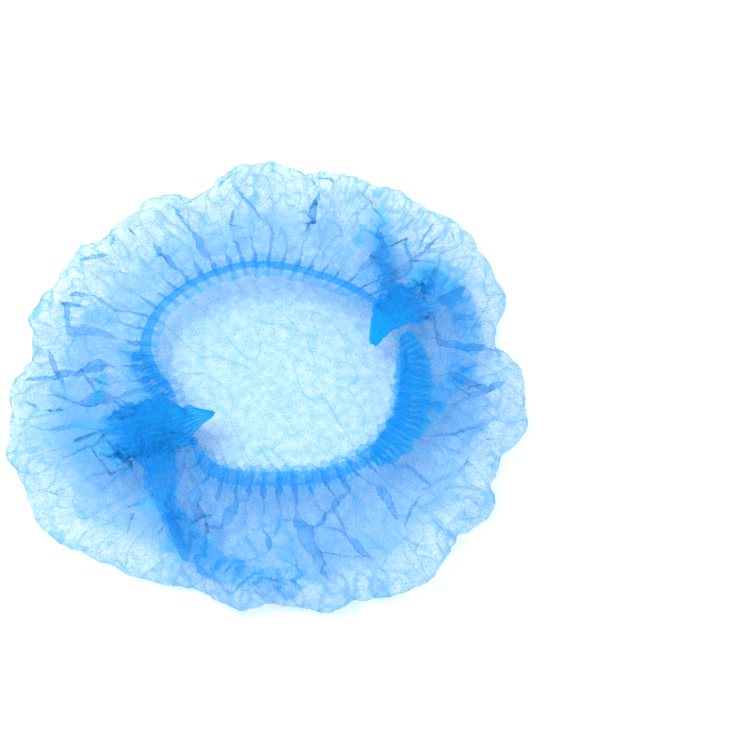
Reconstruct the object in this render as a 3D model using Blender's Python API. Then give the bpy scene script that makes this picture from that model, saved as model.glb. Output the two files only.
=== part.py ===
"""Disposable hairnet, opened out and lying crown down with its mouth up. Metres, +Z up.

One thin cloth shell makes the flat crown, the puffy outer fold and the top side that runs in
to the mouth. Two flat elastics draw the mouth in, one over the far edge and one over the near
edge, and between them sit the two ends where all the pleats of the cloth are gathered.
The origin is under the middle of the cap, on the surface that it lies on.
"""

import math

import bmesh
import bpy

# Overall sizes
CAP_WIDTH = 0.370
CAP_DEPTH = 0.362
OUTER_FOLD_HEIGHT = 0.026
MOUTH_RADIUS = 0.090
MOUTH_HEIGHT = 0.036
SIDE_SAG = 0.007
SIDE_FOLD_HEIGHT = 0.0085
EDGE_PUFF = 0.0050
CLOTH_WALL = 0.0012

# Gathers and ruffle along the mouth
GATHER_COUNT = 48
GATHER_HEIGHT = 0.0024
RUFFLE_WIDTH = 0.0070
RUFFLE_RISE = 0.0045
RUFFLE_WAVE = 0.0012

# Elastics
ELASTIC_WIDTH = 0.0065
ELASTIC_THICKNESS = 0.0010
SEAT_GAP = 0.0003
TRACK_TILT = math.radians(28.0)

# Gathered ends
END_PLEATS = 7
END_LENGTH = 0.050
END_BASE_WIDTH = 0.050
END_TIP_WIDTH = 0.008
END_PLEAT_HEIGHT = 0.0065
END_OVERHANG = 0.010
END_SEAT_GAP = 0.0013
END_QUIET_ANGLE = 15.0

# Points around a ring: each finer ring has twice as many as the one before it
FINE_POINTS = 4 * GATHER_COUNT
MIDDLE_POINTS = FINE_POINTS // 2
COARSE_POINTS = MIDDLE_POINTS // 2

# Plan outline of the cap: degrees anticlockwise from +X, share of the half width and half depth
OUTLINE = [
    {"angle": 0, "reach": 1.000},
    {"angle": 10, "reach": 0.945},
    {"angle": 24, "reach": 0.995},
    {"angle": 42, "reach": 1.008},
    {"angle": 57, "reach": 0.972},
    {"angle": 70, "reach": 0.985},
    {"angle": 81, "reach": 0.955},
    {"angle": 91, "reach": 1.014},
    {"angle": 108, "reach": 0.958},
    {"angle": 125, "reach": 0.970},
    {"angle": 137, "reach": 0.953},
    {"angle": 158, "reach": 0.975},
    {"angle": 180, "reach": 0.978},
    {"angle": 200, "reach": 1.018},
    {"angle": 222, "reach": 1.030},
    {"angle": 243, "reach": 0.962},
    {"angle": 258, "reach": 0.955},
    {"angle": 270, "reach": 0.984},
    {"angle": 288, "reach": 1.028},
    {"angle": 305, "reach": 1.045},
    {"angle": 327, "reach": 1.030},
    {"angle": 341, "reach": 0.998},
    {"angle": 350, "reach": 1.018},
]

# Line of the mouth: share of the mouth radius, and share of the mouth height
MOUTH = [
    {"angle": 4, "reach": 1.080, "height": 0.94},
    {"angle": 17, "reach": 1.050, "height": 1.08},
    {"angle": 31, "reach": 1.020, "height": 1.08},
    {"angle": 46, "reach": 0.975, "height": 1.00},
    {"angle": 64, "reach": 0.925, "height": 0.97},
    {"angle": 80, "reach": 0.920, "height": 0.97},
    {"angle": 98, "reach": 0.940, "height": 0.97},
    {"angle": 115, "reach": 0.957, "height": 0.95},
    {"angle": 131, "reach": 0.983, "height": 0.94},
    {"angle": 150, "reach": 1.012, "height": 0.94},
    {"angle": 168, "reach": 0.983, "height": 0.96},
    {"angle": 182, "reach": 0.900, "height": 1.02},
    {"angle": 198, "reach": 0.780, "height": 1.10},
    {"angle": 216, "reach": 0.750, "height": 1.12},
    {"angle": 231, "reach": 0.870, "height": 1.00},
    {"angle": 244, "reach": 0.960, "height": 0.86},
    {"angle": 267, "reach": 0.945, "height": 0.80},
    {"angle": 283, "reach": 0.965, "height": 0.80},
    {"angle": 299, "reach": 1.030, "height": 0.81},
    {"angle": 320, "reach": 1.105, "height": 0.83},
    {"angle": 338, "reach": 1.125, "height": 0.85},
    {"angle": 352, "reach": 1.105, "height": 0.88},
]

# Large folds of the top side: angle where each leaves the outer fold, how far it drifts on its
# way in to the mouth, its half width in degrees, and its rise as a share of the fold height
FOLDS = [
    {"angle": 5, "drift": 6, "width": 5.0, "rise": 1.0},
    {"angle": 22, "drift": -4, "width": 5.0, "rise": 1.1},
    {"angle": 40, "drift": -12, "width": 5.0, "rise": 0.8},
    {"angle": 58, "drift": -26, "width": 5.5, "rise": 1.3},
    {"angle": 78, "drift": -10, "width": 5.0, "rise": 0.7},
    {"angle": 98, "drift": 0, "width": 5.0, "rise": 0.7},
    {"angle": 120, "drift": 6, "width": 6.0, "rise": 0.8},
    {"angle": 143, "drift": 8, "width": 5.5, "rise": 0.9},
    {"angle": 165, "drift": 14, "width": 5.0, "rise": 0.8},
    {"angle": 184, "drift": 16, "width": 4.5, "rise": 1.2},
    {"angle": 200, "drift": 10, "width": 4.5, "rise": 1.1},
    {"angle": 216, "drift": 2, "width": 4.5, "rise": 0.9},
    {"angle": 240, "drift": -8, "width": 5.0, "rise": 0.8},
    {"angle": 264, "drift": -28, "width": 5.0, "rise": 1.4},
    {"angle": 283, "drift": -8, "width": 5.0, "rise": 1.1},
    {"angle": 305, "drift": 6, "width": 6.0, "rise": 0.9},
    {"angle": 326, "drift": 4, "width": 6.0, "rise": 1.0},
    {"angle": 346, "drift": 6, "width": 5.0, "rise": 0.9},
]

# Rings of the crown and the outer fold, from the middle out and round the fold: share of the
# outline, share of the outer fold's height, and how much the fold swells with the outline
CROWN_RINGS = [
    {"points": COARSE_POINTS, "reach": 0.40, "height": 0.00, "swell": 0.0},
    {"points": COARSE_POINTS, "reach": 0.64, "height": 0.00, "swell": 0.0},
    {"points": COARSE_POINTS, "reach": 0.82, "height": 0.00, "swell": 0.0},
    {"points": MIDDLE_POINTS, "reach": 0.91, "height": 0.08, "swell": 0.3},
    {"points": MIDDLE_POINTS, "reach": 0.97, "height": 0.26, "swell": 0.7},
    {"points": MIDDLE_POINTS, "reach": 1.00, "height": 0.55, "swell": 1.0},
    {"points": MIDDLE_POINTS, "reach": 0.98, "height": 0.84, "swell": 1.0},
]

# Rings of the top side, from the outer fold in to the mouth: share of the way out from the
# mouth, share of the large folds and share of the gathers
SIDE_RINGS = [
    {"points": MIDDLE_POINTS, "out": 0.86, "fold": 0.55, "gather": 0.0},
    {"points": MIDDLE_POINTS, "out": 0.68, "fold": 0.95, "gather": 0.0},
    {"points": MIDDLE_POINTS, "out": 0.49, "fold": 1.00, "gather": 0.0},
    {"points": FINE_POINTS, "out": 0.32, "fold": 0.60, "gather": 0.7},
    {"points": FINE_POINTS, "out": 0.18, "fold": 0.25, "gather": 1.0},
]

# The two gathered ends: where each sits on the mouth, and which way its pleats fan out
ENDS = [
    {"name": "left_gathered_end", "angle": 219.0, "heading": 192.0},
    {"name": "right_gathered_end", "angle": 15.0, "heading": 48.0},
]

# The two elastics: each runs from one gathered end to the other
ELASTICS = [
    {"name": "far_elastic", "start": 28.0, "stop": 199.0},
    {"name": "near_elastic", "start": 231.0, "stop": 366.0},
]
ELASTIC_STEP = 360.0 / FINE_POINTS

# How far in from the outline the top side starts, as a share of the outline
SIDE_START = 0.93

# Level that the large folds rise and sink about, as a share of their height
FOLD_LEVEL = 0.5

# How much higher the outer fold stands for each share that the outline bulges
FOLD_SWELL = 3.0


def smooth(share):
    """Ease a share from 0 to 1 with level ends."""
    share = min(1.0, max(0.0, share))
    return share * share * (3.0 - 2.0 * share)


def turn(angle, other):
    """Signed difference between two angles, in degrees from -180 to 180."""
    return (angle - other + 180.0) % 360.0 - 180.0


def around(rows, column, angle):
    """Read a column of a table at an angle, on a closed curve that is smooth at each row."""
    count = len(rows)
    index = max((i for i in range(count) if rows[i]["angle"] <= angle % 360.0), default=count - 1)
    four = [rows[(index + step) % count] for step in (-1, 0, 1, 2)]
    gaps = [(four[i + 1]["angle"] - four[i]["angle"]) % 360.0 for i in range(3)]
    values = [row[column] for row in four]
    slope_in = (values[2] - values[0]) / (gaps[0] + gaps[1])
    slope_out = (values[3] - values[1]) / (gaps[1] + gaps[2])
    t = ((angle - four[1]["angle"]) % 360.0) / gaps[1]
    bend = (t ** 3 - 2 * t ** 2 + t) * slope_in + (t ** 3 - t ** 2) * slope_out
    return values[1] + (values[2] - values[1]) * (3 * t ** 2 - 2 * t ** 3) + bend * gaps[1]


def fold_rise(angle, out):
    """How far the large folds rise, as a share of their height: they drift towards the mouth."""
    rise = 0.0
    for fold in FOLDS:
        middle = fold["angle"] + fold["drift"] * (1.0 - out)
        offset = turn(angle, middle) / fold["width"]
        rise += fold["rise"] * math.exp(-offset * offset)
    return rise - FOLD_LEVEL


def outline_share(angle):
    """Reach of the outline as a share of the plain ellipse, puffed out where a large fold ends."""
    return around(OUTLINE, "reach", angle) + EDGE_PUFF / (CAP_WIDTH / 2) * fold_rise(angle, 1.0)


def outline_radius(angle):
    """Plan distance from the middle to the outside of the cap."""
    a = math.radians(angle)
    across = math.cos(a) / (CAP_WIDTH / 2)
    along = math.sin(a) / (CAP_DEPTH / 2)
    return outline_share(angle) / math.hypot(across, along)


def mouth_radius(angle):
    """Plan distance from the middle to the line of the elastics."""
    return around(MOUTH, "reach", angle) * MOUTH_RADIUS


def mouth_height(angle):
    """Height of the line of the elastics."""
    return around(MOUTH, "height", angle) * MOUTH_HEIGHT


def quiet(angle):
    """1 under a gathered end, where the cloth lies smooth, falling to 0 beside it."""
    nearest = min(abs(turn(angle, end["angle"])) for end in ENDS)
    return 1.0 - smooth(nearest / END_QUIET_ANGLE - 0.6)


def outer_height(angle):
    """Height of the top of the outer fold, higher where the outline bulges."""
    return OUTER_FOLD_HEIGHT * (1.0 + FOLD_SWELL * (outline_share(angle) - 1.0))


def side_point(angle, out, fold=0.0, gather=0.0):
    """Point on the top side: out is 0 on the line of the elastics and 1 at the outer fold."""
    inner = mouth_radius(angle)
    radius = inner + (outline_radius(angle) * SIDE_START - inner) * out
    height = mouth_height(angle) + (outer_height(angle) - mouth_height(angle)) * smooth(out)
    height -= SIDE_SAG * math.sin(math.pi * out)
    height += SIDE_FOLD_HEIGHT * fold * fold_rise(angle, out)
    wave = math.cos(math.radians(angle * GATHER_COUNT))
    height += GATHER_HEIGHT * gather * wave * (1.0 - quiet(angle))
    a = math.radians(angle)
    return (radius * math.cos(a), radius * math.sin(a), height)


def crown_point(angle, row):
    """Point on the crown or the outer fold."""
    radius = outline_radius(angle) * row["reach"]
    plain = OUTER_FOLD_HEIGHT
    height = row["height"] * (plain + (outer_height(angle) - plain) * row["swell"])
    a = math.radians(angle)
    return (radius * math.cos(a), radius * math.sin(a), height)


def track_point(angle, across, above):
    """Point on the smooth track, which falls outwards: across is 0 at its inner edge, 1 at its outer."""
    run = ELASTIC_WIDTH * across
    radius = mouth_radius(angle) + run * math.cos(TRACK_TILT) + above * math.sin(TRACK_TILT)
    height = mouth_height(angle) - run * math.sin(TRACK_TILT) + above * math.cos(TRACK_TILT)
    a = math.radians(angle)
    return (radius * math.cos(a), radius * math.sin(a), height)


def ruffle_point(angle, share):
    """Point on the loose edge of cloth inside the elastics."""
    calm = 1.0 - 0.7 * quiet(angle)
    wave = math.cos(math.radians(angle * GATHER_COUNT)) * (1.0 - quiet(angle))
    radius = mouth_radius(angle) - RUFFLE_WIDTH * share * calm
    height = mouth_height(angle) + RUFFLE_RISE * share * calm + RUFFLE_WAVE * share * wave
    a = math.radians(angle)
    return (radius * math.cos(a), radius * math.sin(a), height)


def add_material(obj, name, colour, roughness):
    """Give an object its own plain material."""
    material = bpy.data.materials.new(name)
    material.use_nodes = True
    shader = material.node_tree.nodes["Principled BSDF"]
    shader.inputs["Base Color"].default_value = (*colour, 1.0)
    shader.inputs["Roughness"].default_value = roughness
    shader.inputs["Metallic"].default_value = 0.0
    material.diffuse_color = (*colour, 1.0)
    obj.data.materials.append(material)


def finish(name, mesh_source, colour, roughness):
    """Turn a bmesh into a named object with its material, shaded smooth."""
    bmesh.ops.recalc_face_normals(mesh_source, faces=mesh_source.faces)
    mesh = bpy.data.meshes.new(name)
    mesh_source.to_mesh(mesh)
    mesh_source.free()
    obj = bpy.data.objects.new(name, mesh)
    bpy.context.scene.collection.objects.link(obj)
    mesh.shade_smooth()
    mesh.set_sharp_from_angle(angle=math.radians(60.0))
    add_material(obj, name + "_finish", colour, roughness)
    return obj


def add_ring(body, points, place):
    """Add a closed ring of edges, with a point at each equal angle."""
    ring = [body.verts.new(place(360.0 * step / points)) for step in range(points)]
    return [body.edges.new((ring[i], ring[(i + 1) % points])) for i in range(points)]


def build_shell():
    """The cloth: crown, outer fold, top side, track under the elastics, and ruffle."""
    body = bmesh.new()
    rings = []
    for row in CROWN_RINGS:
        rings.append(add_ring(body, row["points"], lambda a, row=row: crown_point(a, row)))
    bmesh.ops.contextual_create(body, geom=rings[0])
    for row in SIDE_RINGS:
        rings.append(add_ring(
            body, row["points"],
            lambda a, row=row: side_point(a, row["out"], row["fold"], row["gather"])))
    rings.append(add_ring(body, FINE_POINTS, lambda a: track_point(a, 1.0, 0.0)))
    rings.append(add_ring(body, FINE_POINTS, lambda a: track_point(a, 0.0, 0.0)))
    for share in (0.55, 1.0):
        rings.append(add_ring(body, FINE_POINTS, lambda a, share=share: ruffle_point(a, share)))
    for inner, outer in zip(rings, rings[1:]):
        bmesh.ops.bridge_loops(body, edges=inner + outer)
    shell = finish("cap_shell", body, (0.42, 0.76, 0.95), 0.75)
    wall = shell.modifiers.new("wall", "SOLIDIFY")
    wall.thickness = CLOTH_WALL
    wall.offset = -1.0
    return shell


def loft(body, sections):
    """Bridge closed sections into a body and close both ends."""
    loops = []
    for section in sections:
        points = [body.verts.new(point) for point in section]
        count = len(points)
        loops.append([body.edges.new((points[i], points[(i + 1) % count])) for i in range(count)])
    for first, second in zip(loops, loops[1:]):
        bmesh.ops.bridge_loops(body, edges=first + second)
    for loop in (loops[0], loops[-1]):
        bmesh.ops.contextual_create(body, geom=loop)


def build_elastic(row):
    """A flat elastic that lies on the smooth track, from one gathered end to the other."""
    body = bmesh.new()
    first = round(row["start"] / ELASTIC_STEP)
    last = round(row["stop"] / ELASTIC_STEP)
    low = SEAT_GAP
    high = SEAT_GAP + ELASTIC_THICKNESS
    sections = []
    for step in range(first, last + 1):
        angle = step * ELASTIC_STEP
        corners = ((0.04, low), (0.96, low), (0.96, high), (0.04, high))
        sections.append([track_point(angle, across, above) for across, above in corners])
    loft(body, sections)
    return finish(row["name"], body, (0.08, 0.40, 0.86), 0.6)


def cover_height(x, y):
    """Height of the shell under a point in plan, read along the straight lines between its rings."""
    angle = math.degrees(math.atan2(y, x)) % 360.0
    profile = [ruffle_point(angle, 1.0), track_point(angle, 0.0, 0.0), track_point(angle, 1.0, 0.0)]
    for row in reversed(SIDE_RINGS):
        profile.append(side_point(angle, row["out"], row["fold"], row["gather"]))
    stations = [(math.hypot(point[0], point[1]), point[2]) for point in profile]
    radius = math.hypot(x, y)
    if radius <= stations[0][0]:
        return stations[0][1]
    for (near, low), (far, high) in zip(stations, stations[1:]):
        if radius <= far:
            return low + (high - low) * (radius - near) / (far - near)
    return stations[-1][1]


def build_end(row):
    """A fan of folded pleats that narrows to a tip inside the mouth."""
    body = bmesh.new()
    reach = mouth_radius(row["angle"]) - END_OVERHANG
    tip = (reach * math.cos(math.radians(row["angle"])), reach * math.sin(math.radians(row["angle"])))
    heading = math.radians(row["heading"])
    rows = 6
    columns = 2 * END_PLEATS
    bmesh.ops.create_grid(body, x_segments=rows, y_segments=columns, size=0.5)
    for vert in body.verts:
        along = vert.co.x + 0.5
        side = vert.co.y
        width = END_TIP_WIDTH + (END_BASE_WIDTH - END_TIP_WIDTH) * along
        forward = END_LENGTH * along
        x = tip[0] + forward * math.cos(heading) - side * width * math.sin(heading)
        y = tip[1] + forward * math.sin(heading) + side * width * math.cos(heading)
        ridge = 0.5 - 0.5 * math.cos(2.0 * math.pi * (side + 0.5) * END_PLEATS)
        crest = 0.75 + 0.5 * math.sin(math.pi * along) - 0.45 * along
        z = cover_height(x, y) + END_SEAT_GAP + END_PLEAT_HEIGHT * ridge * crest
        vert.co = (x, y, z)
    end = finish(row["name"], body, (0.05, 0.33, 0.85), 0.7)
    for face in end.data.polygons:
        if face.normal.z < 0.0:
            end.data.flip_normals()
            break
    wall = end.modifiers.new("wall", "SOLIDIFY")
    wall.thickness = CLOTH_WALL
    wall.offset = 1.0
    return end


def main():
    for old in list(bpy.data.objects):
        bpy.data.objects.remove(old, do_unlink=True)
    build_shell()
    for row in ELASTICS:
        build_elastic(row)
    for row in ENDS:
        build_end(row)


main()
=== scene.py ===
# %% [markdown]
# # A disposable hairnet, opened out
# The real thing is one sheet of very thin blue nonwoven. It was pleated to a strip, got an elastic
# along each long edge, and had its two ends welded. Opened out and laid on its crown, it becomes a
# puffy ring around a gathered mouth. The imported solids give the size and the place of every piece.

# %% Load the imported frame
import math
import bmesh
import bpy
import numpy as np
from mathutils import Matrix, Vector, noise
from mathutils.bvhtree import BVHTree


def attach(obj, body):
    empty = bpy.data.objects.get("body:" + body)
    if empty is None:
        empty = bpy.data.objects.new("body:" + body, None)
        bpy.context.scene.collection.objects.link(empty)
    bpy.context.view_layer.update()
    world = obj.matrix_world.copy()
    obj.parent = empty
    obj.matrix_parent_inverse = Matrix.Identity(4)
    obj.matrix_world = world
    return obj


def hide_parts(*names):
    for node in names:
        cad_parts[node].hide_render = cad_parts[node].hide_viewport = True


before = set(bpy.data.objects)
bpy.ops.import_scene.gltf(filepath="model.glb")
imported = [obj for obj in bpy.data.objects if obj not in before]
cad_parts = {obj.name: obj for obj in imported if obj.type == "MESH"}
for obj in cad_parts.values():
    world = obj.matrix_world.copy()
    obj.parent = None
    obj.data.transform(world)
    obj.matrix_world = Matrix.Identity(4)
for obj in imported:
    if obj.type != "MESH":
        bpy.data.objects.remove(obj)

# Blender's noise vectors start from the clock unless they get a seed, so they get one.
NOISE_SEED = 7
noise.seed_set(NOISE_SEED)

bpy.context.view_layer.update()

# %% [markdown]
# ## Camera, light and floor
# The photograph looks down at the cap from its front, steeply, through a fairly long lens. The
# cap is left of the middle. Thin cloth is seen mostly by the light that comes through it, so the
# light is a bright even sky with one large soft lamp that models the folds, and the floor is white.

# %% Camera
MM_PER_PIXEL = 0.00072
FRAME_PIXELS = 730
CAP_PIXEL = (268.5, 382.0)
VIEW_ELEVATION = math.radians(62.0)
VIEW_DISTANCE = 1.6
VIEW_TARGET_HEIGHT = 0.012
SENSOR = 36.0

half_frame = FRAME_PIXELS / 2
target = Vector((
    (half_frame - CAP_PIXEL[0]) * MM_PER_PIXEL,
    (CAP_PIXEL[1] - half_frame) * MM_PER_PIXEL / math.sin(VIEW_ELEVATION),
    VIEW_TARGET_HEIGHT,
))
back = Vector((0.0, -math.cos(VIEW_ELEVATION), math.sin(VIEW_ELEVATION)))
camera_data = bpy.data.cameras.new("camera")
camera_data.sensor_width = SENSOR
camera_data.lens = SENSOR * VIEW_DISTANCE / (FRAME_PIXELS * MM_PER_PIXEL)
camera = bpy.data.objects.new("camera", camera_data)
bpy.context.scene.collection.objects.link(camera)
camera.location = target + back * VIEW_DISTANCE
camera.rotation_euler = (math.pi / 2 - VIEW_ELEVATION, 0.0, 0.0)
bpy.context.scene.camera = camera
print("lens", round(camera_data.lens, 1), "mm")

# %% Light and colour
SKY_STRENGTH = 1.02
LAMP_PLACE = (-0.45, -0.1, 1.6)
LAMP_SIZE = 0.8
LAMP_POWER = 17.0

scene = bpy.context.scene
scene.view_settings.view_transform = "Standard"
scene.cycles.transparent_max_bounces = 40
scene.cycles.max_bounces = 4
scene.cycles.diffuse_bounces = 2

world = bpy.data.worlds.new("sky")
world.use_nodes = True
world.node_tree.nodes["Background"].inputs["Color"].default_value = (1.0, 1.0, 1.0, 1.0)
world.node_tree.nodes["Background"].inputs["Strength"].default_value = SKY_STRENGTH
scene.world = world


def add_lamp(name, place, size, power):
    """A large square lamp that looks at the cap."""
    lamp = bpy.data.lights.new(name, "AREA")
    lamp.size = size
    lamp.energy = power
    holder = bpy.data.objects.new(name, lamp)
    scene.collection.objects.link(holder)
    holder.location = place
    holder.rotation_euler = Vector(place).to_track_quat("Z", "Y").to_euler()
    return holder


add_lamp("key_lamp", LAMP_PLACE, LAMP_SIZE, LAMP_POWER)

# %% Floor
floor_mesh = bmesh.new()
bmesh.ops.create_grid(floor_mesh, x_segments=1, y_segments=1, size=3.0)
floor_data = bpy.data.meshes.new("floor")
floor_mesh.to_mesh(floor_data)
floor_mesh.free()
floor = bpy.data.objects.new("floor", floor_data)
scene.collection.objects.link(floor)
floor_finish = bpy.data.materials.new("floor_finish")
floor_finish.use_nodes = True
floor_shader = floor_finish.node_tree.nodes["Principled BSDF"]
floor_shader.inputs["Base Color"].default_value = (0.93, 0.93, 0.93, 1.0)
floor_shader.inputs["Roughness"].default_value = 0.9
floor_shader.inputs["Specular IOR Level"].default_value = 0.0
floor_data.materials.append(floor_finish)

# %% [markdown]
# ## The cap's main form
# Three short tables give the plan outline, the line of the mouth and the large folds, as shares of
# a few named sizes. They are the same as those of the solids, so that the cloth lies where they do.
# Only the loose ruffle inside the mouth is wider and flatter here than in the solids.

# %% Sizes
CAP_WIDTH = 0.370
CAP_DEPTH = 0.362
OUTER_FOLD_HEIGHT = 0.026
MOUTH_RADIUS = 0.090
MOUTH_HEIGHT = 0.036
SIDE_SAG = 0.007
SIDE_FOLD_HEIGHT = 0.0085
EDGE_PUFF = 0.0050
RUFFLE_WIDTH = 0.0100
RUFFLE_RISE = 0.0010
ELASTIC_WIDTH = 0.0065
TRACK_TILT = math.radians(28.0)
FOLD_LEVEL = 0.5
FOLD_SWELL = 3.0

# %% Outline of the cap: degrees anticlockwise from +X, share of the half width and half depth
OUTLINE = [
    {"angle": 0, "reach": 1.000},
    {"angle": 10, "reach": 0.945},
    {"angle": 24, "reach": 0.995},
    {"angle": 42, "reach": 1.008},
    {"angle": 57, "reach": 0.972},
    {"angle": 70, "reach": 0.985},
    {"angle": 81, "reach": 0.955},
    {"angle": 91, "reach": 1.014},
    {"angle": 108, "reach": 0.958},
    {"angle": 125, "reach": 0.970},
    {"angle": 137, "reach": 0.953},
    {"angle": 158, "reach": 0.975},
    {"angle": 180, "reach": 0.978},
    {"angle": 200, "reach": 1.018},
    {"angle": 222, "reach": 1.030},
    {"angle": 243, "reach": 0.962},
    {"angle": 258, "reach": 0.955},
    {"angle": 270, "reach": 0.984},
    {"angle": 288, "reach": 1.028},
    {"angle": 305, "reach": 1.045},
    {"angle": 327, "reach": 1.030},
    {"angle": 341, "reach": 0.998},
    {"angle": 350, "reach": 1.018},
]

# %% Line of the mouth: share of the mouth radius, and share of the mouth height
MOUTH = [
    {"angle": 4, "reach": 1.080, "height": 0.94},
    {"angle": 17, "reach": 1.050, "height": 1.08},
    {"angle": 31, "reach": 1.020, "height": 1.08},
    {"angle": 46, "reach": 0.975, "height": 1.00},
    {"angle": 64, "reach": 0.925, "height": 0.97},
    {"angle": 80, "reach": 0.920, "height": 0.97},
    {"angle": 98, "reach": 0.940, "height": 0.97},
    {"angle": 115, "reach": 0.957, "height": 0.95},
    {"angle": 131, "reach": 0.983, "height": 0.94},
    {"angle": 150, "reach": 1.012, "height": 0.94},
    {"angle": 168, "reach": 0.983, "height": 0.96},
    {"angle": 182, "reach": 0.900, "height": 1.02},
    {"angle": 198, "reach": 0.780, "height": 1.10},
    {"angle": 216, "reach": 0.750, "height": 1.12},
    {"angle": 231, "reach": 0.870, "height": 1.00},
    {"angle": 244, "reach": 0.960, "height": 0.86},
    {"angle": 267, "reach": 0.945, "height": 0.80},
    {"angle": 283, "reach": 0.965, "height": 0.80},
    {"angle": 299, "reach": 1.030, "height": 0.81},
    {"angle": 320, "reach": 1.105, "height": 0.83},
    {"angle": 338, "reach": 1.125, "height": 0.85},
    {"angle": 352, "reach": 1.105, "height": 0.88},
]

# %% Large folds of the top side: where each leaves the outer fold, its drift, half width and rise
FOLDS = [
    {"angle": 5, "drift": 6, "width": 5.0, "rise": 1.0},
    {"angle": 22, "drift": -4, "width": 5.0, "rise": 1.1},
    {"angle": 40, "drift": -12, "width": 5.0, "rise": 0.8},
    {"angle": 58, "drift": -26, "width": 5.5, "rise": 1.3},
    {"angle": 78, "drift": -10, "width": 5.0, "rise": 0.7},
    {"angle": 98, "drift": 0, "width": 5.0, "rise": 0.7},
    {"angle": 120, "drift": 6, "width": 6.0, "rise": 0.8},
    {"angle": 143, "drift": 8, "width": 5.5, "rise": 0.9},
    {"angle": 165, "drift": 14, "width": 5.0, "rise": 0.8},
    {"angle": 184, "drift": 16, "width": 4.5, "rise": 1.2},
    {"angle": 200, "drift": 10, "width": 4.5, "rise": 1.1},
    {"angle": 216, "drift": 2, "width": 4.5, "rise": 0.9},
    {"angle": 240, "drift": -8, "width": 5.0, "rise": 0.8},
    {"angle": 264, "drift": -28, "width": 5.0, "rise": 1.4},
    {"angle": 283, "drift": -8, "width": 5.0, "rise": 1.1},
    {"angle": 305, "drift": 6, "width": 6.0, "rise": 0.9},
    {"angle": 326, "drift": 4, "width": 6.0, "rise": 1.0},
    {"angle": 346, "drift": 6, "width": 5.0, "rise": 0.9},
]

# %% Reading the tables
LEFT_END_ANGLE = 219.0
RIGHT_END_ANGLE = 15.0
END_QUIET_ANGLE = 15.0


def smooth(share):
    """Ease a share from 0 to 1 with level ends."""
    share = min(1.0, max(0.0, share))
    return share * share * (3.0 - 2.0 * share)


def turn(angle, other):
    """Signed difference between two angles, in degrees from -180 to 180."""
    return (angle - other + 180.0) % 360.0 - 180.0


def around(rows, column, angle):
    """Read a column of a table at an angle, on a closed curve that is smooth at each row."""
    count = len(rows)
    index = max((i for i in range(count) if rows[i]["angle"] <= angle % 360.0), default=count - 1)
    four = [rows[(index + step) % count] for step in (-1, 0, 1, 2)]
    gaps = [(four[i + 1]["angle"] - four[i]["angle"]) % 360.0 for i in range(3)]
    values = [row[column] for row in four]
    slope_in = (values[2] - values[0]) / (gaps[0] + gaps[1])
    slope_out = (values[3] - values[1]) / (gaps[1] + gaps[2])
    t = ((angle - four[1]["angle"]) % 360.0) / gaps[1]
    bend = (t ** 3 - 2 * t ** 2 + t) * slope_in + (t ** 3 - t ** 2) * slope_out
    return values[1] + (values[2] - values[1]) * (3 * t ** 2 - 2 * t ** 3) + bend * gaps[1]


def fold_rise(angle, out):
    """How far the large folds rise, as a share of their height."""
    rise = 0.0
    for fold in FOLDS:
        middle = fold["angle"] + fold["drift"] * (1.0 - out)
        offset = turn(angle, middle) / fold["width"]
        rise += fold["rise"] * math.exp(-offset * offset)
    return rise - FOLD_LEVEL


def outline_share(angle):
    """Reach of the outline as a share of the plain ellipse."""
    return around(OUTLINE, "reach", angle) + EDGE_PUFF / (CAP_WIDTH / 2) * fold_rise(angle, 1.0)


def outline_radius(angle):
    """Plan distance from the middle to the outside of the cap."""
    a = math.radians(angle)
    across = math.cos(a) / (CAP_WIDTH / 2)
    along = math.sin(a) / (CAP_DEPTH / 2)
    return outline_share(angle) / math.hypot(across, along)


def mouth_radius(angle):
    """Plan distance from the middle to the line of the elastics."""
    return around(MOUTH, "reach", angle) * MOUTH_RADIUS


def mouth_height(angle):
    """Height of the line of the elastics."""
    return around(MOUTH, "height", angle) * MOUTH_HEIGHT


def outer_height(angle):
    """Height of the top of the outer fold, higher where the outline bulges."""
    return OUTER_FOLD_HEIGHT * (1.0 + FOLD_SWELL * (outline_share(angle) - 1.0))


def quiet(angle):
    """1 under a gathered end, where the cloth lies smooth, falling to 0 beside it."""
    nearest = min(abs(turn(angle, LEFT_END_ANGLE)), abs(turn(angle, RIGHT_END_ANGLE)))
    return 1.0 - smooth(nearest / END_QUIET_ANGLE - 0.6)


def polar(angle, radius, height):
    """A point from its angle in degrees, plan radius and height."""
    a = math.radians(angle)
    return Vector((radius * math.cos(a), radius * math.sin(a), height))


print("outline at 0, 90, 180, 270:", [round(outline_radius(a), 4) for a in (0, 90, 180, 270)])

# %% [markdown]
# ## The cloth
# The sheet starts as a grid for the middle of the crown. Its edge is extruded ring by ring along
# the cap's profile: out over the floor, round the outer fold, in over the top side, across the
# track under the elastics and up into the loose ruffle. Real crumples come from a cloth simulation
# in which the sheet is told to grow, by up to a sixth, while its mouth is held, so it has to buckle.

# %% Rings of the sheet
CROWN_CELLS = 66
CROWN_GRID_REACH = 0.60
FOLD_ROUND = 0.0135
ROOM_TO_GROW = 0.950
RINGS = (
    [("crown", (i + 1) / 16) for i in range(16)]
    + [("fold", (i + 1) / 13) for i in range(13)]
    + [("side", 1.0 - (i + 1) / 33) for i in range(33)]
    + [("track", (i + 1) / 3) for i in range(3)]
    + [("ruffle", (i + 1) / 4) for i in range(4)]
)


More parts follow.
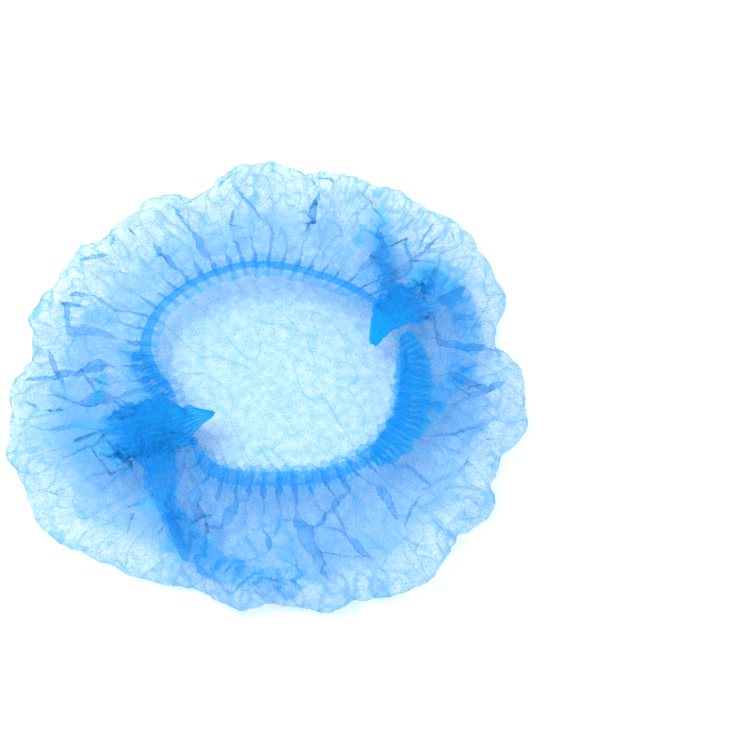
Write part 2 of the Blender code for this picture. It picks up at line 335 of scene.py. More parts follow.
def profile_point(angle, zone, share):
    """Point of the smooth sheet in one zone of the profile, at a share of the way through it."""
    outside = outline_radius(angle) * ROOM_TO_GROW
    turning = outside - FOLD_ROUND
    top = outer_height(angle)
    inner = mouth_radius(angle)
    if zone == "crown":
        start = outside * CROWN_GRID_REACH
        return polar(angle, start + (turning - start) * share, 0.0)
    if zone == "fold":
        bend = math.pi * (share - 0.5)
        return polar(angle, turning + FOLD_ROUND * math.cos(bend), top / 2 * (1 + math.sin(bend)))
    if zone == "side":
        edge = inner + ELASTIC_WIDTH * math.cos(TRACK_TILT)
        low = mouth_height(angle) - ELASTIC_WIDTH * math.sin(TRACK_TILT)
        height = low + (top - low) * smooth(share) - SIDE_SAG * math.sin(math.pi * share)
        height += SIDE_FOLD_HEIGHT * fold_rise(angle, share) * math.sin(math.pi * min(1, share + 0.1))
        return polar(angle, edge + (turning - edge) * share, height)
    if zone == "track":
        run = ELASTIC_WIDTH * (1.0 - share)
        height = mouth_height(angle) - run * math.sin(TRACK_TILT)
        return polar(angle, inner + run * math.cos(TRACK_TILT), height)
    calm = 1.0 - 0.7 * quiet(angle)
    height = mouth_height(angle) + RUFFLE_RISE * share * calm
    return polar(angle, inner - RUFFLE_WIDTH * share * calm, height)


def plan_angle(point):
    """Angle of a point around the cap, in degrees."""
    return math.degrees(math.atan2(point.y, point.x)) % 360.0


# %% Build the sheet
POINT_NUMBERS = 2 ** 15


def point_order(part):
    """Sorting key of an edge or a face, from its lowest point numbers. Extruding gives them in an
    order that differs from run to run, and the simulation adds forces up in that order, so
    without sorting no two runs agree."""
    key = 0
    for index in sorted(vert.index for vert in part.verts)[:3]:
        key = key * POINT_NUMBERS + index
    return key


def build_sheet():
    """The smooth sheet, with the number of its ring and the kind of its zone on each point."""
    body = bmesh.new()
    ring_layer = body.verts.layers.float.new("ring")
    bmesh.ops.create_grid(body, x_segments=CROWN_CELLS, y_segments=CROWN_CELLS, size=1.0)
    for vert in body.verts:
        x, y = vert.co.x, vert.co.y
        if abs(x) > abs(y):
            reach, a = x, math.pi / 4 * y / x
        elif abs(y) > 0.0:
            reach, a = y, math.pi / 2 - math.pi / 4 * x / y
        else:
            reach, a = 0.0, 0.0
        if reach < 0.0:
            reach, a = -reach, a + math.pi
        angle = math.degrees(a) % 360.0
        vert.co = polar(angle, outline_radius(angle) * ROOM_TO_GROW * CROWN_GRID_REACH * reach, 0.0)
        vert[ring_layer] = -1.0 + reach
    edge = [e for e in body.edges if e.is_boundary]
    for number, (zone, share) in enumerate(RINGS):
        grown = bmesh.ops.extrude_edge_only(body, edges=edge)
        edge = [g for g in grown["geom"] if isinstance(g, bmesh.types.BMEdge) and g.is_boundary]
        for vert in {v for e in edge for v in e.verts}:
            vert.co = profile_point(plan_angle(vert.co), zone, share)
            vert[ring_layer] = float(number)
    bmesh.ops.recalc_face_normals(body, faces=body.faces)
    body.verts.index_update()
    body.edges.sort(key=point_order)
    body.faces.sort(key=point_order)
    mesh = bpy.data.meshes.new("cloth")
    body.to_mesh(mesh)
    body.free()
    return mesh


sheet_mesh = build_sheet()
sheet_area = sum(face.area for face in sheet_mesh.polygons)
print("sheet", len(sheet_mesh.vertices), "points,", round(sheet_area, 4), "square metres")

# %% [markdown]
# ### Crumpling
# The simulation runs on a copy ten times as large, because the solver's distances suit large
# scenes. The track and the ruffle are pinned. The crown grows little, since it lies smooth in the
# photograph, and the top side grows most. The floor stops it from sinking.

# %% Simulation
SIM_SCALE = 10.0
SIM_FRAMES = 24
GROW_SIDE = -0.17
SEED_BUMP = 0.0009
SEED_PITCH = 90.0
FIRST_FOLD_RING = 16
FIRST_SIDE_RING = 29
FIRST_TRACK_RING = 62


def crumple(mesh):
    """Let the sheet buckle as it grows, and return the points where it settles."""
    cloth = bpy.data.objects.new("crumpled", mesh.copy())
    scene.collection.objects.link(cloth)
    rings = [item.value for item in cloth.data.attributes["ring"].data]
    pin = cloth.vertex_groups.new(name="pin")
    still = cloth.vertex_groups.new(name="still")
    for vert, ring in zip(cloth.data.vertices, rings):
        if ring >= FIRST_TRACK_RING:
            pin.add([vert.index], 1.0, "REPLACE")
        share = 0.12 + 0.88 * smooth((ring + 1) / FIRST_SIDE_RING)
        share *= 1.0 - smooth((ring - FIRST_TRACK_RING + 8) / 8)
        still.add([vert.index], 1.0 - share, "REPLACE")
        bump = noise.noise_vector(vert.co * SEED_PITCH) * SEED_BUMP * share
        if ring < FIRST_FOLD_RING:
            bump = Vector((0.0, 0.0, abs(bump.z)))
        vert.co = (vert.co + bump) * SIM_SCALE
    ground = bpy.data.objects.new("ground", floor_data.copy())
    scene.collection.objects.link(ground)
    ground.scale = (SIM_SCALE, SIM_SCALE, 1.0)
    ground.location.z = -0.012
    ground.modifiers.new("stop", "COLLISION")
    ground.collision.thickness_outer = 0.01
    solver = cloth.modifiers.new("cloth", "CLOTH")
    settings = solver.settings
    settings.quality = 5
    settings.mass = 0.3
    settings.air_damping = 4.0
    settings.tension_stiffness = 40.0
    settings.compression_stiffness = 40.0
    settings.shear_stiffness = 20.0
    settings.bending_stiffness = 0.12
    settings.tension_damping = 20.0
    settings.compression_damping = 20.0
    settings.shear_damping = 20.0
    settings.bending_damping = 0.5
    settings.vertex_group_mass = "pin"
    settings.shrink_min = GROW_SIDE
    settings.shrink_max = 0.0
    settings.vertex_group_shrink = "still"
    settings.effector_weights.gravity = 0.0
    solver.collision_settings.distance_min = 0.006
    solver.collision_settings.use_self_collision = True
    solver.collision_settings.self_distance_min = 0.005
    solver.collision_settings.collision_quality = 2
    solver.point_cache.frame_start = 1
    solver.point_cache.frame_end = SIM_FRAMES
    for step in range(1, SIM_FRAMES + 1):
        scene.frame_set(step)
    graph = bpy.context.evaluated_depsgraph_get()
    settled = [vert.co / SIM_SCALE for vert in cloth.evaluated_get(graph).data.vertices]
    bpy.data.objects.remove(cloth, do_unlink=True)
    bpy.data.objects.remove(ground, do_unlink=True)
    scene.frame_set(1)
    return settled


for vert, point in zip(sheet_mesh.vertices, crumple(sheet_mesh)):
    vert.co = point
lows = [vert.co.z for vert in sheet_mesh.vertices]
print("crumpled sheet from", round(min(lows), 4), "to", round(max(lows), 4), "high")

# %% [markdown]
# ### Refining and folding over
# One level of subdivision rounds the sheet. Then the folds that are too fine for the simulation
# are put in. Cloth that is gathered doesn't only wave, it folds over itself, and where it does,
# three layers lie on each other and the thin blue looks dark. A fold is made by shifting the cloth
# sideways, more and more towards a line, until it passes itself.

# %% Refine the sheet
SETTLED_SHARE = 0.16
FLOOR_GAP = 0.0006


def refined(mesh):
    """The sheet with one level of subdivision, applied."""
    holder = bpy.data.objects.new("refining", mesh)
    scene.collection.objects.link(holder)
    smoother = holder.modifiers.new("smoother", "SUBSURF")
    smoother.levels = 1
    smoother.render_levels = 1
    graph = bpy.context.evaluated_depsgraph_get()
    finer = bpy.data.meshes.new_from_object(holder.evaluated_get(graph))
    bpy.data.objects.remove(holder, do_unlink=True)
    return finer


def ease(shares):
    """Smooth step of an array."""
    shares = np.clip(shares, 0.0, 1.0)
    return shares * shares * (3.0 - 2.0 * shares)


def read_vectors(items, field):
    """An array with a row for each item of a mesh."""
    flat = np.empty(len(items) * 3)
    items.foreach_get(field, flat)
    return flat.reshape(-1, 3)


cloth_mesh = refined(sheet_mesh)
cloth_points = read_vectors(cloth_mesh.vertices, "co")
ring_numbers = np.empty(len(cloth_mesh.vertices))
cloth_mesh.attributes["ring"].data.foreach_get("value", ring_numbers)
settle = SETTLED_SHARE + (1.0 - SETTLED_SHARE) * ease((ring_numbers - 4) / 16)
cloth_points[:, 2] *= settle
cloth_points[:, 2] -= (cloth_points[:, 2].min() - FLOOR_GAP) * (1.0 - ease((ring_numbers - 8) / 16))
print("refined sheet", len(cloth_points), "points, rings up to", ring_numbers.max())

# %% Gathers along the mouth
PLEAT_COUNT = 56
PLEAT_REACH = 0.050
PLEAT_LIFT = 0.0024
PLEAT_SHIFT = 0.0046
WIDE_LIFT = 0.0024
WIDE_SHIFT = 0.0068
WIDE_LAYERS = 0.42
FRILL_LIFT = 0.0018
RAGGED_EDGE = 0.0022
SIDE_RING_PITCH = 0.0027


def wander(points, pitch, offset):
    """Slowly changing numbers from -1 to 1, one for each point."""
    return np.array([noise.noise(Vector(point) * pitch + Vector((offset, 0.0, 0.0))) for point in points])


away = (FIRST_TRACK_RING - ring_numbers) * SIDE_RING_PITCH
angles = np.arctan2(cloth_points[:, 1], cloth_points[:, 0])
near_end = np.array([quiet(math.degrees(angle)) for angle in angles])
phase = angles * PLEAT_COUNT + 1.3 * wander(cloth_points, 45.0, 3.0)
flat_places = cloth_points * [1.0, 1.0, 0.0]
unevenness = 0.95 + 0.5 * wander(flat_places, 42.0, 9.0)
reach = PLEAT_REACH * (0.55 + 0.7 * np.abs(wander(flat_places, 60.0, 4.0)))
reach *= 1.0 + 0.6 * ease(1.0 - np.abs(np.degrees(angles) + 80.0) / 75.0)
pleat = unevenness * np.exp(-np.maximum(away, 0.0) / reach) * ease(1.0 - away / (PLEAT_REACH * 1.9))
wide_phase = angles * PLEAT_COUNT / 2 + 1.8 * wander(cloth_points, 30.0, 1.0)
wide_fade = ease((away - 0.010) / 0.02) * ease(1.0 - (away - 0.045) / 0.045)
wide = wide_fade * np.clip(0.55 + 1.5 * wander(cloth_points, 22.0, 5.0), 0.0, 1.3)


def add_gathers(points):
    """Fold the cloth over at each gather, most beside the elastics and less further out."""
    across = np.stack([-np.sin(angles), np.cos(angles), np.zeros_like(angles)], axis=1)
    out = np.stack([np.cos(angles), np.sin(angles), np.zeros_like(angles)], axis=1)
    tight = pleat * ease((away + 0.003) / 0.006) * (1.0 - 0.4 * near_end)
    shift = -PLEAT_SHIFT * tight * np.sin(phase) - WIDE_SHIFT * wide * np.sin(wide_phase)
    lift = -PLEAT_LIFT * tight * np.cos(phase + 0.7) - WIDE_LIFT * wide * np.cos(wide_phase + 0.7)
    loose = ease((ring_numbers - FIRST_TRACK_RING - 2.0) / 4.0)
    frill = loose * np.cos(phase) * (1.0 - 0.6 * near_end)
    points += across * shift[:, None]
    points[:, 2] += lift - FRILL_LIFT * frill
    ragged_edge = ease((ring_numbers - FIRST_TRACK_RING - 4.0) / 2.0) * wander(points, 160.0, 8.0)
    points += out * (0.0010 * frill + RAGGED_EDGE * ragged_edge)[:, None]
    return points


# %% Long creases
# Each row runs from one place on the top side to another: angle, and share of the way from the
# mouth out to the outer fold. The width is in metres, the cloth passes itself where fold is more
# than 1, and dense is the number of layers added.
CREASES = [
    {"from": 205, "near": 0.14, "to": 186, "far": 0.88, "width": 0.0045, "fold": 1.6, "dense": 0.1},
    {"from": 210, "near": 0.10, "to": 196, "far": 0.90, "width": 0.0050, "fold": 1.6, "dense": 0.1},
    {"from": 214, "near": 0.08, "to": 206, "far": 0.85, "width": 0.0050, "fold": 1.6, "dense": 0.1},
    {"from": 220, "near": 0.08, "to": 221, "far": 0.70, "width": 0.0050, "fold": 1.6, "dense": 0.1},
    {"from": 226, "near": 0.03, "to": 240, "far": 0.60, "width": 0.0069, "fold": 1.9, "dense": 0.3},
    {"from": 234, "near": 0.40, "to": 252, "far": 0.86, "width": 0.0069, "fold": 2.5, "dense": 0.6},
    {"from": 250, "near": 0.74, "to": 266, "far": 0.98, "width": 0.0073, "fold": 2.5, "dense": 0.6},
    {"from": 264, "near": 0.93, "to": 279, "far": 0.88, "width": 0.0069, "fold": 2.4, "dense": 0.5},
    {"from": 236, "near": 0.10, "to": 250, "far": 0.52, "width": 0.0065, "fold": 2.2, "dense": 0.4},
    {"from": 252, "near": 0.50, "to": 262, "far": 0.12, "width": 0.0060, "fold": 2.1, "dense": 0.3},
    {"from": 28, "near": 0.04, "to": 60, "far": 0.75, "width": 0.0060, "fold": 2.4, "dense": 0.4},
    {"from": 26, "near": 0.05, "to": 50, "far": 0.85, "width": 0.0060, "fold": 2.2, "dense": 0.3},
    {"from": 24, "near": 0.05, "to": 36, "far": 0.75, "width": 0.0060, "fold": 2.2, "dense": 0.4},
    {"from": 20, "near": 0.05, "to": 26, "far": 0.80, "width": 0.0060, "fold": 2.2, "dense": 0.4},
    {"from": 14, "near": 0.25, "to": 7, "far": 0.85, "width": 0.0060, "fold": 2.2, "dense": 0.3},
    {"from": 4, "near": 0.30, "to": 353, "far": 0.80, "width": 0.0065, "fold": 2.3, "dense": 0.4},
    {"from": 346, "near": 0.35, "to": 358, "far": 0.90, "width": 0.0060, "fold": 2.2, "dense": 0.3},
    {"from": 279, "near": 0.14, "to": 286, "far": 0.92, "width": 0.0065, "fold": 2.0, "dense": 0.3},
    {"from": 283, "near": 0.42, "to": 304, "far": 0.16, "width": 0.0065, "fold": 2.0, "dense": 0.3},
    {"from": 287, "near": 0.34, "to": 299, "far": 0.78, "width": 0.0055, "fold": 2.1, "dense": 0.3},
    {"from": 311, "near": 0.20, "to": 306, "far": 0.62, "width": 0.0055, "fold": 2.1, "dense": 0.3},
    {"from": 325, "near": 0.18, "to": 322, "far": 0.55, "width": 0.0060, "fold": 2.2, "dense": 0.4},
    {"from": 336, "near": 0.22, "to": 345, "far": 0.78, "width": 0.0060, "fold": 2.3, "dense": 0.4},
    {"from": 70, "near": 0.55, "to": 75, "far": 0.98, "width": 0.0069, "fold": 1.2, "dense": 0.1},
    {"from": 56, "near": 0.70, "to": 68, "far": 0.90, "width": 0.0086, "fold": 1.3, "dense": 0.1},
    {"from": 131, "near": 0.20, "to": 128, "far": 0.62, "width": 0.0055, "fold": 2.1, "dense": 0.4},
    {"from": 172, "near": 0.80, "to": 190, "far": 0.62, "width": 0.0065, "fold": 2.0, "dense": 0.3},
    {"from": 158, "near": 0.86, "to": 168, "far": 0.55, "width": 0.0060, "fold": 2.2, "dense": 0.3},
]
CREASE_LIFT = 0.0016


def side_place(angle, share):
    """Plan point on the top side."""
    inner = mouth_radius(angle)
    radius = inner + (outline_radius(angle) - inner) * share
    return np.array([radius * math.cos(math.radians(angle)), radius * math.sin(math.radians(angle))])


def fold_along(points, mask, start, stop, width, fold, dense):
    """Shift the cloth towards a line in plan until it passes itself, and return the layers added."""
    along = stop - start
    length = float(np.hypot(*along))
    along = along / length
    side = np.array([-along[1], along[0]])
    offset = points[:, :2] - start
    travel = offset @ along / length
    distance = offset @ side / width
    ends = ease(travel / 0.25) * ease((1.0 - travel) / 0.25)
    pull = mask * ends * np.exp(-distance * distance)
    points[:, :2] -= np.outer(fold * pull * distance * width, side)
    points[:, 2] += CREASE_LIFT * pull * distance * 2.0
    return dense * ease(pull * 2.2 - 0.6)


top_side = ease((ring_numbers - FIRST_SIDE_RING + 3) / 4) * ease((FIRST_TRACK_RING - ring_numbers) / 4)
extra_layers = np.zeros(len(cloth_points))
for row in CREASES:
    start = side_place(row["from"], row["near"])
    stop = side_place(row["to"], row["far"])
    extra_layers += fold_along(cloth_points, top_side, start, stop, row["width"], row["fold"], row["dense"])

# %% Short creases
# The rest of the crumpling is chance. A seeded generator scatters short creases that mostly run
# out from the mouth, so they are the same on every run.
SHORT_CREASES = 130
SHORT_WIDTHS = (0.0022, 0.0042)
SHORT_FOLDS = (1.4, 2.1)
SHORT_DENSE = 0.12
chance = np.random.default_rng(12)
for number in range(SHORT_CREASES):
    angle = chance.uniform(0.0, 360.0)
    share = chance.uniform(0.25, 0.9)
    start = side_place(angle, share)
    heading = math.radians(angle) + chance.normal(0.0, 0.75)
    reach = chance.uniform(0.014, 0.040)
    stop = start + reach * np.array([math.cos(heading), math.sin(heading)])
    width = chance.uniform(*SHORT_WIDTHS)
    fold = chance.uniform(*SHORT_FOLDS)
    extra_layers += fold_along(cloth_points, top_side, start, stop, width, fold, SHORT_DENSE)

# %% Measure the folds, then gather
def take_shape(points):
    """Put points into the mesh and return its normals."""
    cloth_mesh.vertices.foreach_set("co", points.ravel())
    cloth_mesh.update()
    return read_vectors(cloth_mesh.vertices, "normal")


def sharpness(mesh, points, normals):
    """How far each point stands off the middle of its neighbours, along the normal."""
    edges = np.empty(len(mesh.edges) * 2, dtype=np.int32)
    mesh.edges.foreach_get("vertices", edges)
    first, second = edges.reshape(-1, 2).T
    total = np.zeros_like(points)
    count = np.zeros(len(points))
    for one, other in ((first, second), (second, first)):
        np.add.at(total, one, points[other])
        np.add.at(count, one, 1)
    offset = points - total / count[:, None]
    return np.abs((offset * normals).sum(axis=1))


normals = take_shape(cloth_points)
steep = 1.0 - np.abs(normals[:, 2])
sharp = sharpness(cloth_mesh, cloth_points, normals)
add_gathers(cloth_points)

# %% Fine crumples
# Paper-like cloth breaks into small flat facets between sharp ridges. The distance between the
# two nearest seeds of a cell pattern is zero on such a net of ridges.
FACET_PITCH = 110.0
FACET_LIFT = 0.0011
RIDGE_WIDTH = 0.16


def facet_ridges(points, pitch):
    """1 on the ridges between facets, 0 inside them."""
    ridges = np.empty(len(points))
    for index, point in enumerate(points):
        place = Vector(point) * pitch
        place += noise.noise_vector(place * 0.7) * 0.35
        nearest = noise.voronoi(place)[0]
        ridges[index] = nearest[1] - nearest[0]
    return np.exp(-ridges / RIDGE_WIDTH)


normals = take_shape(cloth_points)
ridges = facet_ridges(cloth_points, FACET_PITCH)
flatter = 0.35 + 0.65 * ease((ring_numbers - 10) / 12)
cloth_points += normals * (FACET_LIFT * (ridges - 0.35) * flatter)[:, None]
cloth_points[:, 2] = np.maximum(cloth_points[:, 2], 0.0003)
take_shape(cloth_points)

# %% How many layers each bit of cloth stands for
# Gathered cloth is too finely folded to model each fold, so a number says how many layers lie there.
# Each row is a soft capsule in plan: two ends in metres, a radius and the layers added. The same number
# also carries a painted shade on the outer part of the near half of the top side.
DENSE = [
    {"from": (-0.150, -0.044), "to": (-0.090, -0.048), "radius": 0.020, "layers": 1.0},
    {"from": (-0.100, -0.054), "to": (-0.072, -0.052), "radius": 0.020, "layers": 1.2},
    {"from": (-0.080, -0.055), "to": (-0.070, -0.100), "radius": 0.017, "layers": 1.1},
    {"from": (-0.068, -0.105), "to": (-0.040, -0.142), "radius": 0.013, "layers": 0.8},
    {"from": (-0.092, 0.010), "to": (-0.084, -0.030), "radius": 0.014, "layers": 1.8},
    {"from": (0.083, 0.045), "to": (0.080, 0.125), "radius": 0.010, "layers": 1.4},
    {"from": (0.092, 0.050), "to": (0.116, 0.070), "radius": 0.014, "layers": 0.8},
    {"from": (0.116, 0.070), "to": (0.136, 0.054), "radius": 0.013, "layers": 0.6},
    {"from": (0.136, 0.054), "to": (0.146, 0.026), "radius": 0.012, "layers": 0.6},
    {"from": (0.146, 0.026), "to": (0.133, -0.006), "radius": 0.012, "layers": 0.6},
    {"from": (0.133, -0.006), "to": (0.112, -0.036), "radius": 0.010, "layers": 0.9},
    {"from": (0.120, 0.075), "to": (0.165, 0.078), "radius": 0.014, "layers": 0.7},
    {"from": (0.060, 0.150), "to": (0.110, 0.135), "radius": 0.016, "layers": 0.5},
]
RIM_WIDTH_FAR = 0.0035
RIM_WIDTH_NEAR = 0.0085
RIM_WIDTH_RIGHT = 0.0150
RIM_LAYERS = 1.05
SIDE_LAYERS = 0.02
STEEP_LAYERS = 0.7
CURVE_LAYERS = 0.8
CURVE_FULL = 0.00045
RUFFLE_LAYERS = 0.9
EXTRA_MOST = 0.5
# Painted shade: a tenth of a layer more on the outer part of the near half of the top side, which darkens it.
NEAR_SIDE_PAINTED_SHADE = 0.10
CROWN_LAYERS = 1.00


def capsule(points, row, ragged):
    """1 on a capsule's line, falling to 0 at its ragged edge."""
    start = np.array(row["from"])
    along = np.array(row["to"]) - start
    offset = points[:, :2] - start
    travel = np.clip(offset @ along / (along @ along), 0.0, 1.0)
    distance = np.hypot(*(offset - np.outer(travel, along)).T)
    return ease(1.5 - distance / row["radius"] * ragged)


ragged = 1.0 + 0.9 * wander(cloth_points, 70.0, 2.0)
crown_share = ease((FIRST_FOLD_RING - 2 - ring_numbers) / 4.0)
layers = SIDE_LAYERS + (CROWN_LAYERS - SIDE_LAYERS) * crown_share
for row in DENSE:
    layers += row["layers"] * capsule(cloth_points, row, ragged) * top_side
degrees = np.degrees(angles)
to_right = ease(1.0 - np.abs(degrees + 18.0) / 48.0)
to_near = ease(1.0 - np.abs(degrees + 85.0) / 60.0)
rim_width = RIM_WIDTH_FAR + RIM_WIDTH_RIGHT * to_right + RIM_WIDTH_NEAR * to_near
rim = ease(1.6 - np.abs(away - rim_width * 0.5) / rim_width * ragged)
layers += RIM_LAYERS * rim * (ring_numbers > FIRST_SIDE_RING)
layers += STEEP_LAYERS * steep + np.minimum(extra_layers, EXTRA_MOST)
# Painted shade: the outer part of the near half of the top side is counted as thicker, so it looks darker and
# more violet.
near_side_painted_shade = ease((away - 0.040) / 0.03) * ease((0.02 - cloth_points[:, 1]) / 0.10)
layers += NEAR_SIDE_PAINTED_SHADE * near_side_painted_shade * (ring_numbers > FIRST_SIDE_RING)
layers += WIDE_LAYERS * wide * ease(np.cos(wide_phase) * 1.6 - 0.4)
layers += CURVE_LAYERS * np.clip(sharp / CURVE_FULL, 0.0, 1.0)
layers += RUFFLE_LAYERS * ease((ring_numbers - FIRST_TRACK_RING - 3.0) / 1.5)
print("layers", round(float(layers.mean()), 2), "on average and", round(float(layers.max()), 2), "at most")


def keep_numbers(mesh, name, values):
    """Store one number for each point of a mesh, for its material to read."""
    store = mesh.attributes.new(name, "FLOAT", "POINT")
    store.data.foreach_set("value", values)


def keep_vectors(mesh, name, values):
    """Store one vector for each point of a mesh, for its material to read."""
    store = mesh.attributes.new(name, "FLOAT_VECTOR", "POINT")
    store.data.foreach_set("vector", values.ravel())


keep_numbers(cloth_mesh, "layers", layers)
keep_numbers(cloth_mesh, "pleat", np.clip(pleat * (ring_numbers > FIRST_SIDE_RING), 0.0, 1.5))
keep_numbers(cloth_mesh, "pleat_wave", np.cos(phase))
keep_numbers(cloth_mesh, "crown", crown_share)
keep_vectors(cloth_mesh, "streak", np.stack([np.cos(angles), np.sin(angles), away * 10.0], axis=1))
cloth_area = sum(face.area for face in cloth_mesh.polygons)
print("cloth area", round(cloth_area, 4), "square metres")

# %% [markdown]
# ## Finishes
# The cloth filters the light that goes through it, and the more layers there are, the more it
# takes away: mostly red, some green, almost no blue. A colour raised to the power of the number of
# layers does just that. A share of the light is scattered by the fibres and shows the folds.
# The number of layers is varied by creases, facets, a mottled formation and the fibres themselves; on the
# outer near side it also carries a painted shade.

# %% Small helpers for materials
class Wiring:
    """Adds nodes to one material and links them."""

    def __init__(self, name):
        self.material = bpy.data.materials.new(name)
        self.material.use_nodes = True
        self.tree = self.material.node_tree
        self.tree.nodes.clear()
        self.link = self.tree.links.new

    def add(self, kind, **settings):
        node = self.tree.nodes.new(kind)
        for key, value in settings.items():
            setattr(node, key, value)
        return node

    def put(self, socket, value):
        if isinstance(value, bpy.types.NodeSocket):
            self.link(value, socket)
        else:
            socket.default_value = value

    def math(self, operation, first, second=0.0):
        node = self.add("ShaderNodeMath", operation=operation)
        self.put(node.inputs[0], first)
        self.put(node.inputs[1], second)
        return node.outputs[0]

    def stretch(self, value, low, high, to_low, to_high):
        node = self.add("ShaderNodeMapRange")
        self.put(node.inputs["Value"], value)
        self.put(node.inputs["From Min"], low)
        self.put(node.inputs["From Max"], high)
        self.put(node.inputs["To Min"], to_low)
        self.put(node.inputs["To Max"], to_high)
        return node.outputs["Result"]

    def read(self, name, vector=False):
        node = self.add("ShaderNodeAttribute", attribute_name=name)
        return node.outputs["Vector" if vector else "Fac"]

    def scaled(self, vector, factors):
        node = self.add("ShaderNodeVectorMath", operation="MULTIPLY")
        self.put(node.inputs[0], vector)
        self.put(node.inputs[1], factors)
        return node.outputs[0]

    def noise(self, vector, scale, detail=1.0):
        node = self.add("ShaderNodeTexNoise")
        self.put(node.inputs["Vector"], vector)
        self.put(node.inputs["Scale"], scale)
        self.put(node.inputs["Detail"], detail)
        return node.outputs["Fac"]

    def ridge(self, value, width):
        """1 where a noise crosses its middle value, which is along wandering lines."""
        return self.stretch(self.math("ABSOLUTE", self.math("SUBTRACT", value, 0.5)), 0.0, width, 1.0, 0.0)

    def tones(self, factor, low, high):
        node = self.add("ShaderNodeMix", data_type="RGBA")
        self.put(node.inputs["Factor"], factor)
        node.inputs["A"].default_value = (*low, 1.0)
        node.inputs["B"].default_value = (*high, 1.0)
        return node.outputs["Result"]


# %% Cloth finish
TINT_THIN = (0.732, 0.838, 0.970)
TINT_DENSE = (0.690, 0.938, 0.990)
BODY_THIN = (0.38, 0.74, 0.96)
BODY_DENSE = (0.012, 0.60, 1.0)
BODY_BUNCHED = (0.04, 0.62, 1.0)
COVER_NONE = 0.05
COVER_DENSE = 0.88
DENSE_LAYERS = 5.0
CROWN_LINE_TURN = math.radians(-52.0)


